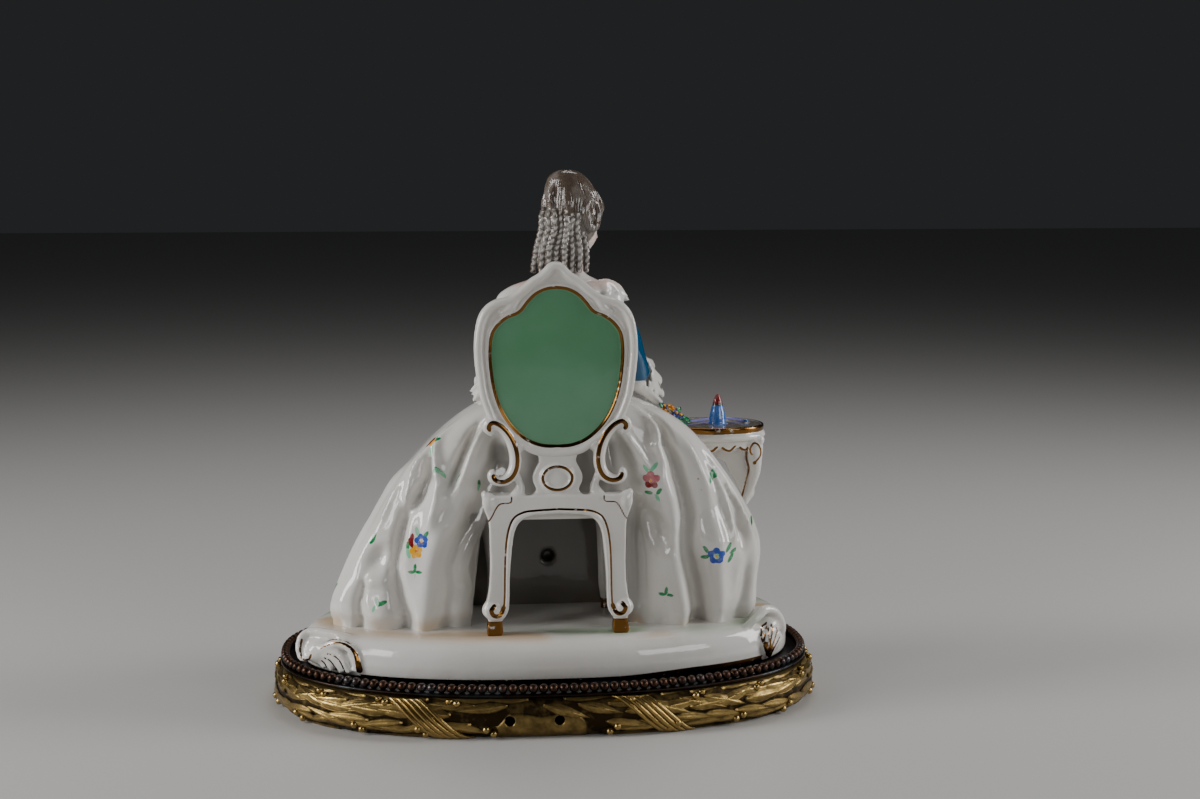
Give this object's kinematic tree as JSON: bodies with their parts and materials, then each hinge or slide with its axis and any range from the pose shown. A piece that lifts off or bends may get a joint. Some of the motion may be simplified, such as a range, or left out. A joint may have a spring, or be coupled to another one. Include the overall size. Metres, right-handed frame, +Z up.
{
  "type": "rococo lady figurine",
  "caption": "Porcelain lady in a wide rococo dress, seated on a gilt chair beside a small dressing table, on an oblong base in a beaded bronze tray with a laurel wreath foot.",
  "frame": {"origin": "centre of the underside of the bronze foot", "axes": "+Z up, +X along the length of the foot and towards the sitter's left, the sitter faces -Y"},
  "size_m": [0.308, 0.2031, 0.2946],
  "materials": {
    "porcelain": "glossy white glaze with painted colours and burnished gold lines",
    "tray_bronze": "dark brown patinated bronze",
    "gilt_bronze": "dull gilding, rubbed on the high leaves"
  },
  "bodies": {
    "root": {"porcelain_group": "porcelain", "beaded_tray": "tray_bronze", "laurel_wreath_base": "gilt_bronze"}
  },
  "joints": []
}
